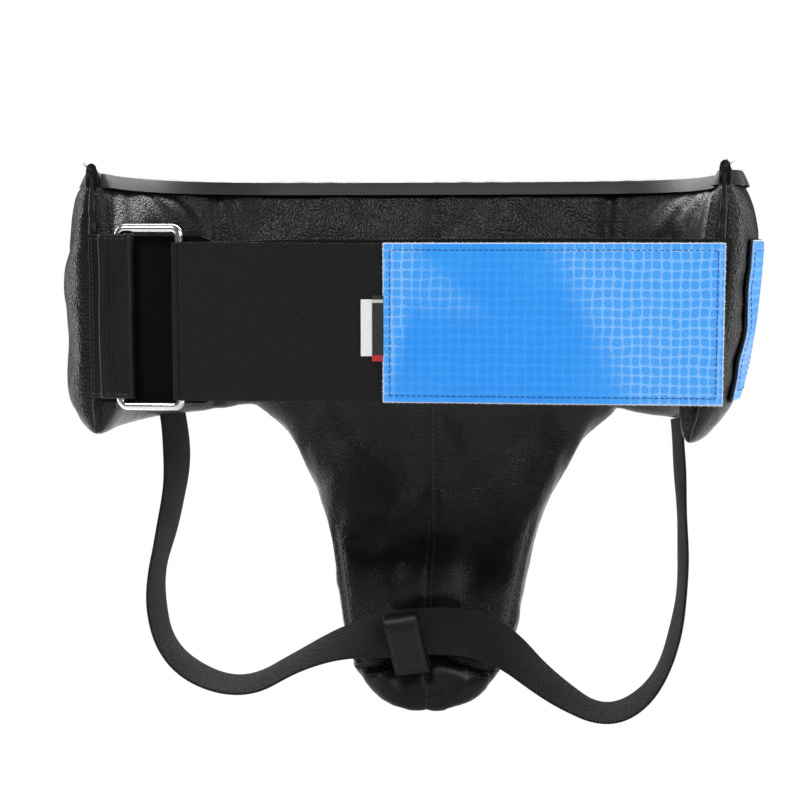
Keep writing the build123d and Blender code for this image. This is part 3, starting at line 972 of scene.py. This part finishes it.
def tab():
    """One strip of leather folded round the ring's bar, sewn flat beside the end seam."""
    path = []
    fold = -159.4
    reach = 3.9
    for x in np.linspace(TAB_END, fold - 17.6, 12):
        path.append((x, -0.85))
    for share in np.linspace(0, 1, 7)[1:]:
        path.append((fold - 17.6 + 6 * share, -0.85 - (reach - 0.85) * float(smooth(share))))
    for x in np.linspace(fold - 11.6, fold, 8)[1:]:
        path.append((x, -reach))
    for angle in np.linspace(-90, 90, 15)[1:]:
        turned = math.radians(angle)
        path.append((fold + reach * math.cos(turned), reach * math.sin(turned)))
    path += [(x, -y) for x, y in path[25::-1] if x < fold]
    path = np.array(path)
    ridges = 0.5 * np.exp(-((path[:, 0] + 172.5) / 1.3) ** 2)
    ridges -= 0.45 * np.exp(-((path[:, 0] + 175.4) / 0.8) ** 2)
    ridges -= 0.4 * np.exp(-((path[:, 0] + 178.8) / 0.7) ** 2)
    front = path[:, 1] < 0
    levels = np.linspace(-53, 41, 48)
    grid = np.empty((len(levels), len(path), 3))
    for k, z in enumerate(levels):
        drift = 0.25 * math.sin(z / 8.3) + 0.18 * math.sin(z / 3.1 + 1)
        near_edge = min(z + 53, 41 - z)
        turned_in = 0.5 * math.exp(-(near_edge / 1.5) ** 2)
        grid[k, :, 0] = path[:, 0] + drift * 0.4
        y = path[:, 1] + np.where(front, -ridges, 0) + drift * 0.25 * (path[:, 0] > fold - 14)
        grid[k, :, 1] = RING_Y + y * (1 - turned_in * 0.12)
        grid[k, :, 2] = z
    piece = thick_sheet("ring_tab_leather", grid, 1.4, 0.5)
    own(piece, "root", "smooth_leather", smooth_leather, "ring_tab")
    rows = [[(-178.8, RING_Y - 1.75, z) for z in np.arange(-51, 40, 1.0)]]
    for z in (38.4, -50.4):
        rows.append([(x, RING_Y - 2.0 - 2.75 * float(smooth((x + 177) / 6)), z)
                     for x in np.arange(-180, -158, 1.0)])
    # The tab's stitches use the thread with the painted highlight.
    stitches("tab_stitches", rows, highlight_grey_thread, "root", "smooth_leather", 2.2, 1.0, 0.5)
    levels = np.arange(-52, 40.5, 1.0)
    folds = []
    for x, wide, tall in ((-173.0, 1.7, 1.5), (-167.6, 1.0, 0.8)):
        rings = []
        for z in levels:
            drift = 0.3 * math.sin(z / 11)
            rest = RING_Y - 1.4 - 3.1 * float(smooth((x + 177) / 6))
            ring_points = []
            for t in range(9):
                angle = 2 * math.pi * t / 9
                ring_points.append((x + drift + wide * math.cos(angle), rest + tall * math.sin(angle), z))
            rings.append(ring_points)
        folds.append(add_mesh("fold", *tube_mesh(rings)))
    own(join("tab_folds", folds), "root", "smooth_leather", smooth_leather)


tab()

GUARD_Y = -84.0
guard_grid = flat_grid(-177, -108, -56, 40, GUARD_Y, 3.0, 0.5)
from_middle = guard_grid[:, :, 2] + 8
corner = (guard_grid[:, :, 0] > -116) & (np.abs(from_middle) > 41)
cut = np.sign(from_middle) * (guard_grid[:, :, 0] + 116) * 0.5
guard_grid[:, :, 2] -= np.where(corner, cut, 0)
guard = thick_sheet("ring_guard_leather", guard_grid, 1.4, 0.5)
own(guard, "root", "smooth_leather", matte_leather, "ring_guard")

# ------------------------------------------------------------------ the closure strap
STRAP_LOW = -54
STRAP_TOP = 36
INNER = 2.6
ELASTIC = 1.6
UNDER_Y = RING_Y + INNER + ELASTIC / 2 + 0.1
OVER_Y = RING_Y - INNER - ELASTIC / 2 - 0.1
SEWN_X = 183
OVER_END = 168


def drawn_in(grid):
    """The sewn end of the under layer follows the curl of the wing."""
    drop = np.clip((BELT_TOP - grid[:, :, 2]) / 149, 0, 1)
    grid[:, :, 0] -= WING_CURL * drop**2 * smooth((grid[:, :, 0] - 120) / 60)
    return grid


def strap_grid(path, low=STRAP_LOW, high=STRAP_TOP, rows=31, uneven=0.35, rise=0.0):
    """A grid across the strap for a path in plan, with faint waves along its selvedges."""
    path = np.asarray(path, float)
    levels = np.linspace(low, high, rows)
    lengths = np.concatenate([[0], np.cumsum(np.linalg.norm(np.diff(path, axis=0), axis=1))])
    ways = np.gradient(path, axis=0)
    ways /= np.linalg.norm(ways, axis=1)[:, None]
    grid = np.empty((rows, len(path), 3))
    for k, z in enumerate(levels):
        off = uneven * waves(lengths, z, ((83, 0.2, 0.5), (47, 1.1, 2.0), (29, 2.7, 0.1)))
        edge = min(z - low, high - z)
        selvedge = 0.25 * np.sin(lengths / 2.6) * math.exp(-edge / 2.5)
        grid[k, :, 0] = path[:, 0] - ways[:, 1] * (off + selvedge)
        grid[k, :, 1] = path[:, 1] + ways[:, 0] * (off + selvedge)
        grid[k, :, 2] = z + rise * smooth(lengths / 90) + 0.35 * np.sin(lengths / 31 + (z > 0)) * (edge < 3)
    return grid


under_path = [(x, UNDER_Y) for x in np.linspace(RING_END + 0.4, SEWN_X - 26, 90)]
under_path += [(SEWN_X - 26 + 12 * s, UNDER_Y - 3.4 * float(smooth(s))) for s in np.linspace(0, 1, 8)[1:]]
under_path += [(x, UNDER_Y - 3.4) for x in np.linspace(SEWN_X - 14, SEWN_X, 7)[1:]]
under = thick_sheet("strap_under_elastic", drawn_in(strap_grid(under_path, rise=2.6)), ELASTIC, 0.5)
own(under, None, "elastic", flat_elastic, "strap_under")
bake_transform(under)

turn_path = []
for angle in np.linspace(90, 270, 19):
    turned = math.radians(angle)
    reach = INNER + ELASTIC / 2 + 0.1
    turn_path.append((RING_END + reach * math.cos(turned), RING_Y + reach * math.sin(turned)))
turned_over = thick_sheet("strap_turn_elastic", strap_grid(turn_path, uneven=0.0), ELASTIC, 0.5)
own(turned_over, None, "elastic", flat_elastic, "strap_turn")
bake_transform(turned_over)

over_path = [(x, OVER_Y) for x in np.linspace(RING_END + 0.4, OVER_END, 100)]
over = thick_sheet("strap_over_elastic", strap_grid(over_path), ELASTIC, 0.5)
own(over, "flap", "elastic", flat_elastic, "strap_over")


def pile_tape(name, x0, x1, y, cad_node, body):
    """A hook or loop tape, sewn between the strap's two layers."""
    low, high = STRAP_LOW + 4.5, STRAP_TOP - 4.5
    ground = thick_sheet(name, flat_grid(x0, x1, low, high, y, 3.0, 0.15), 2.3, 0.4)
    own(ground, body, "hook_and_loop", hook_nylon, cad_node)


PILE_Y = ELASTIC / 2 + 1.35
pile_tape("loop_pad_tape", -30, 154, UNDER_Y - PILE_Y, "loop_pad", "root")
pile_tape("hook_pad_tape", 0, 154, OVER_Y + PILE_Y, "hook_pad", "flap")

# ------------------------------------------------------------------ patch and labels
PATCH_X = (-10.5, 177)
PATCH_Z = (-53, 35.5)
PATCH_Y = OVER_Y - ELASTIC / 2 - 1.0


def frayed_edge(name, outline, normal, body, slot, material, reach=1.1):
    """Short cut fibres along an edge, as a cut woven backing has."""
    points, faces = [], []
    even = resample(outline, 0.55)
    for k, place in enumerate(even[:-1]):
        way = even[k + 1] - place
        way /= max(np.linalg.norm(way), 1e-6)
        out = np.cross(way, normal)
        out /= np.linalg.norm(out)
        long = reach * (0.45 + 0.55 * abs(math.sin(k * 12.9898) * 43758.5453 % 1))
        lean = way * 0.5 * math.sin(k * 7.31)
        up = normal * 0.16
        a = place - out * 0.8
        b = place + (out + lean) * long
        base = len(points)
        for centre, wide, tall in ((a, way * 0.22, up), (b, way * 0.08, up * 0.4)):
            points += [centre - wide - tall, centre + wide - tall, centre + wide + tall, centre - wide + tall]
        faces += [(base + i, base + j, base + m, base + n) for i, j, m, n in
                  ((0, 1, 5, 4), (1, 2, 6, 5), (2, 3, 7, 6), (3, 0, 4, 7), (4, 5, 6, 7), (3, 2, 1, 0))]
    return own(add_mesh(name, points, faces), body, slot, material)


def patch():
    x0, x1 = PATCH_X
    z0, z1 = PATCH_Z
    seeds = ((120, 0.1, 0.4), (70, 1.4, 2.0), (41, 0.7, 1.0))
    face = flat_grid(x0, x1, z0, z1, PATCH_Y, 3.0, 0.5, seeds)
    piece = thick_sheet("closure_patch_pu", face - (0, 0.35, 0), 1.0, 0.3)
    own(piece, "flap", "blue_patch", blue_patch, "closure_patch")
    backing = flat_grid(x0 - 0.5, x1 + 0.5, z0 - 0.5, z1 + 0.5, PATCH_Y, 3.0, 0.5, seeds)
    backing = thick_sheet("closure_patch_backing", backing + (0, 0.35, 0), 0.5, 0.2)
    own(backing, "flap", "white_tape", white_backing)
    outline = [(x0, z0), (x1, z0), (x1, z1), (x0, z1), (x0, z0)]
    rows = []
    for inset, y in ((3.5, -1.05), (-0.3, 0.25)):
        line = []
        for (xa, za), (xb, zb) in zip(outline, outline[1:]):
            for s in np.linspace(0, 1, 60, endpoint=False):
                x = min(max(xa + (xb - xa) * s, x0 + inset), x1 - inset)
                z = min(max(za + (zb - za) * s, z0 + inset), z1 - inset)
                line.append((x, PATCH_Y + y + 0.5 * waves(x, z, seeds), z))
        line.append(line[0])
        rows.append(np.array(line))
    stitches("patch_stitches", [rows[0]], navy_thread, "flap", "blue_patch", 2.3, 0.9, 0.5)
    frayed_edge("patch_fray", rows[1], np.array([0, -1.0, 0]), "flap", "white_tape", white_backing)


patch()
label_y = OVER_Y - ELASTIC / 2
tag = thick_sheet("blank_size_tag", flat_grid(-23.5, -5, -27.5, 4.5, label_y - 0.35, 1.5, 0.25), 0.3, 0.1)
own(tag, "flap", "white_tape", white_tape, "size_tag")
label = thick_sheet("plain_woven_label", flat_grid(-17, -4.5, -30.5, 6.7, label_y - 0.8, 1.5, 0.2), 0.4, 0.1)
own(label, "flap", "woven_tape", black_tape, "woven_label")
for name, low, high, tape in (("label_red_stripe", -30.3, -26.8, red_tape),
                              ("label_pale_stripe", 2.6, 4.4, pale_tape)):
    stripe = thick_sheet(name, flat_grid(-17.1, -10.8, low, high, label_y - 1.05, 1.2, 0.15), 0.2, 0.05)
    own(stripe, "flap", "woven_tape", tape)

# ------------------------------------------------------------------ the patch on the right wing
ANCHOR_Z = (-54, 38)
# Degrees round the wing's last arc.
ANCHOR_START = 17
ANCHOR_TURN = 13.5


def anchor_run():
    """Where the outer patch starts and ends along the belt."""
    (front, front_turn), (side, side_turn), (wing, _) = RIGHT_ARCS
    bend = front * math.radians(front_turn) + side * math.radians(side_turn)
    first = bend + wing * math.radians(ANCHOR_START)
    return first, first + wing * math.radians(ANCHOR_TURN)


def wing_cloth(name, inset, out, material, slot, cad_node):
    """A sheet laid on the outside of the right wing, and eased where the leather is uneven."""
    start, end = anchor_run()
    low, high = ANCHOR_Z
    runs = np.linspace(start + inset, end - inset, 22)
    levels = np.linspace(low + inset, high - inset, 36)
    grid = np.empty((len(levels), len(runs), 3))
    for i, z in enumerate(levels):
        _, _, nx, ny = belt_at(runs)
        grid[i] = laid(cover_tree, belt_points(runs, 45, z), np.stack([-nx, -ny, 0 * nx], 1), out)
    for _ in range(6):
        grid[1:-1] = (grid[:-2] + 2 * grid[1:-1] + grid[2:]) / 4
        grid[:, 1:-1] = (grid[:, :-2] + 2 * grid[:, 1:-1] + grid[:, 2:]) / 4
    own(thick_sheet(name, grid, 1.1, 0.3), "root", slot, material, cad_node)
    return grid


def border(grid):
    """The points round the edge of a grid, as one closed line."""
    return np.concatenate([grid[0], grid[1:, -1], grid[-1, -2::-1], grid[-2::-1, 0]])


wing_cloth("anchor_backing_leather", 0.0, 1.4, smooth_leather, "outer_leather", "anchor_backing")
blue_grid = wing_cloth("anchor_patch_pu", 1.2, 2.7, blue_wing, "blue_patch", "anchor_patch")
inset_grid = blue_grid[2:-2, 2:-2] + (0.75, 0.0, 0)
stitches("anchor_stitches", [border(inset_grid)], navy_thread, "root", "blue_patch", 2.3, 0.9, 0.5)
frayed_edge("anchor_fray", border(blue_grid), np.array([1.0, 0.2, 0]),
            "root", "white_tape", white_backing, 0.9)

# ------------------------------------------------------------------ the leg strap and its keeper
LEG_ROUTE = (
    (-168, 44, -76), (-163, 42, -104), (-169, 37, -146), (-180, 29, -192), (-168, 22, -238), (-118, 16, -258),
    (-72, 15, -230), (-38, 16.5, -218), (18, 16.5, -211), (50, 14, -217), (84, 8, -246), (121, 4, -265),
    (153, 10, -243), (167, 22, -196), (168, 34, -146), (163, 44, -76),
)
# How far the ribbon's flat side is turned from facing the front, in degrees, at shares of its length.
LEG_TURNS = (
    (0.0, 72), (0.05, 70), (0.1, 76), (0.15, 82), (0.22, 83), (0.27, 84), (0.33, 80), (0.39, 74),
    (0.43, 62), (0.46, 36), (0.48, 8), (0.53, 6), (0.56, 36), (0.61, 60), (0.66, 76), (0.71, 84),
    (0.77, 84), (0.83, 84), (0.9, 84), (1.0, 80),
)
LEG_STEP = 1.5


def leg_path():
    curve = bpy.data.curves.new("leg_path", "CURVE")
    curve.dimensions = "3D"
    spline = curve.splines.new("NURBS")
    spline.points.add(len(LEG_ROUTE) - 1)
    for point, place in zip(spline.points, LEG_ROUTE):
        point.co = (*[v * MM for v in place], 1)
    spline.order_u = 3
    spline.use_endpoint_u = True
    curve.resolution_u = 24
    holder = bpy.data.objects.new("leg_path", curve)
    bpy.context.scene.collection.objects.link(holder)
    made = bpy.data.meshes.new_from_object(holder)
    line = np.array([tuple(v.co) for v in made.vertices]) / MM
    bpy.data.objects.remove(holder)
    return line


def leg_ribbon():
    line = resample(leg_path(), LEG_STEP)
    count = len(line)
    ways = np.gradient(line, axis=0)
    ways /= np.linalg.norm(ways, axis=1)[:, None]
    shares = np.linspace(0, 1, count)
    turns = np.interp(shares, *np.array(LEG_TURNS).T)
    turns = np.convolve(np.pad(turns, 12, "edge"), np.ones(25) / 25, "valid")
    columns = 13
    across = np.linspace(-15, 15, columns)
    grid = np.empty((count, columns, 3))
    for k in range(count):
        flat = np.array([0.0, -1.0, 0.0])
        side = np.cross(ways[k], flat)
        side /= np.linalg.norm(side)
        face = np.cross(side, ways[k])
        angle = math.radians(turns[k])
        turned = side * math.cos(angle) + face * math.sin(angle)
        over = np.cross(turned, ways[k])
        cup = 0.9 * (1 - (across / 15) ** 2) + 0.25 * np.sin(k / 5.5 + across / 9)
        grid[k] = line[k] + turned[None] * across[:, None] + over[None] * cup[:, None]
    piece = thick_sheet("leg_strap_ribbon", grid, 1.7, 0.6)
    points = coordinates(piece)
    nearest = np.empty(len(points), int)
    for k in range(0, len(points), 4000):
        part = points[k:k + 4000]
        nearest[k:k + 4000] = ((part[:, None] - line[None]) ** 2).sum(2).argmin(1)
    rows = line[nearest]
    middle_side = grid[nearest, -1] - grid[nearest, 0]
    middle_side /= np.linalg.norm(middle_side, axis=1)[:, None]
    attribute(piece, "along", nearest * LEG_STEP * MM)
    attribute(piece, "across", ((points - rows) * middle_side).sum(1) * MM)
    own(piece, "root", "elastic", ribbon_elastic, "leg_strap")
    return line


leg_line = leg_ribbon()


def keeper():
    """A folded strip of leather that wraps the leg strap where it crosses the cup's front."""
    low, high = -240.5, -203
    middle_y = 16.5

    def place(share, y, z):
        # Across the strip from -1 to 1. The strip leans, and its edges are not level.
        return -8.4 + 10.8 * share - 0.24 * (z + 222), y, z + 1.8 * share

    rings = []
    for share in np.linspace(-1, 1, 15):
        ring = []
        for t in range(40):
            angle = 2 * math.pi * t / 40
            c, s = math.cos(angle), math.sin(angle)
            out_y = 6.8 * math.copysign(abs(s) ** 0.55, s)
            z = (low + high) / 2 + (high - low) / 2 * math.copysign(abs(c) ** 0.5, c)
            ring.append(place(share, middle_y + out_y + 0.3 * math.sin(z / 3.3 + share), z))
        rings.append(ring)
    points = np.array(rings).reshape(-1, 3)
    piece = add_mesh("keeper_leather", points, grid_faces(15, 40, close_columns=True))
    solid = piece.modifiers.new("leather", "SOLIDIFY")
    solid.thickness = 1.6 * MM
    solid.offset = 0
    ease = piece.modifiers.new("eased", "BEVEL")
    ease.width = 0.5 * MM
    ease.segments = 2
    ease.limit_method = "ANGLE"
    ease.angle_limit = math.radians(50)
    apply_modifiers(piece)
    own(piece, "root", "smooth_leather", smooth_leather, "keeper_loop")
    heights = np.arange(low + 4, high - 4, 1.2)
    rows = [[place(share, middle_y - 7.75, z) for z in heights] for share in (-0.78, 0.78)]
    # The keeper's stitches use the thread with the painted highlight.
    stitches("keeper_stitches", rows, highlight_grey_thread, "root", "smooth_leather", 2.2, 1.0, 0.5)


keeper()
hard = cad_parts.get("hard_cup")
if hard is not None:
    hard.data.materials.clear()
    hard.data.materials.append(shell_plastic)

# ------------------------------------------------------------------ camera, light and stage
CAMERA_AWAY = 961
CAMERA_TURN = 6.0
CAMERA_HEIGHT = 36
CAMERA_PITCH = 5.8
CAMERA_SHIFT = -11.2
LENS = 69.6

turn = math.radians(CAMERA_TURN)
lens = bpy.data.cameras.new("camera")
lens.lens = LENS
lens.sensor_width = 36
camera = bpy.data.objects.new("camera", lens)
bpy.context.scene.collection.objects.link(camera)
aside = Vector((math.cos(turn), math.sin(turn), 0)) * CAMERA_SHIFT
back = Vector((math.sin(turn), -math.cos(turn), 0)) * CAMERA_AWAY
camera.location = (aside + back + Vector((0, 0, CAMERA_HEIGHT))) * MM
camera.rotation_euler = (math.radians(90 - CAMERA_PITCH), 0, turn)
bpy.context.scene.camera = camera


def area_light(name, place, aim, size, watts):
    lamp = bpy.data.lights.new(name, "AREA")
    lamp.shape = "RECTANGLE"
    lamp.size, lamp.size_y = size
    lamp.energy = watts
    made = bpy.data.objects.new(name, lamp)
    bpy.context.scene.collection.objects.link(made)
    made.location = place
    made.rotation_euler = (Vector(aim) - Vector(place)).to_track_quat("-Z", "Y").to_euler()


area_light("key_softbox", (-0.45, -1.0, 1.0), (0, 0, -0.05), (0.5, 0.4), 11)
area_light("fill_softbox", (1.0, -0.8, 0.5), (0, 0, -0.08), (0.5, 0.6), 6)
area_light("back_softbox", (-0.2, 0.95, 0.85), (0, 0, 0), (1.5, 0.6), 36)
area_light("left_strip", (-1.1, 0.25, 0.25), (0, 0, -0.05), (0.25, 1.1), 6)
area_light("right_strip", (1.1, 0.25, 0.25), (0, 0, -0.05), (0.25, 1.1), 6)


def paper_white(name):
    """White paper: plain white to the camera, and a matt pale floor to the light on the object."""
    material = bpy.data.materials.new(name)
    material.use_nodes = True
    tree = material.node_tree
    tree.nodes.clear()
    path = node(tree, "LightPath")
    matt = node(tree, "BsdfDiffuse", Color=linear("#f4f4f4"))
    plain_white = node(tree, "Emission", Color=linear("#ffffff"), Strength=1.0)
    seen = path.outputs["Is Camera Ray"]
    surface = node(tree, "MixShader", i0=seen, i1=matt.outputs[0], i2=plain_white.outputs[0])
    node(tree, "OutputMaterial", Surface=surface.outputs[0])
    return material


low = cad_box[0].z - 0.004
floor = add_mesh("floor", [(x, y, low / MM) for x, y in
                           ((-6000, -6000), (6000, -6000), (6000, 6000), (-6000, 6000))], [(0, 1, 2, 3)])
floor.data.materials.append(paper_white("white_paper"))

world = bpy.data.worlds.new("studio")
bpy.context.scene.world = world
world.use_nodes = True
tree = world.node_tree
tree.nodes.clear()
path = node(tree, "LightPath")
seen = maths(tree, "MAXIMUM", path.outputs["Is Camera Ray"], path.outputs["Is Transmission Ray"])
ambient = node(tree, "Background", Color=linear("#ffffff"), Strength=0.10)
backdrop = node(tree, "Background", Color=linear("#ffffff"), Strength=1.0)
sky = node(tree, "MixShader", i0=seen, i1=ambient.outputs[0], i2=backdrop.outputs[0])
node(tree, "OutputWorld", Surface=sky.outputs[0])
bpy.context.scene.view_settings.view_transform = "Standard"
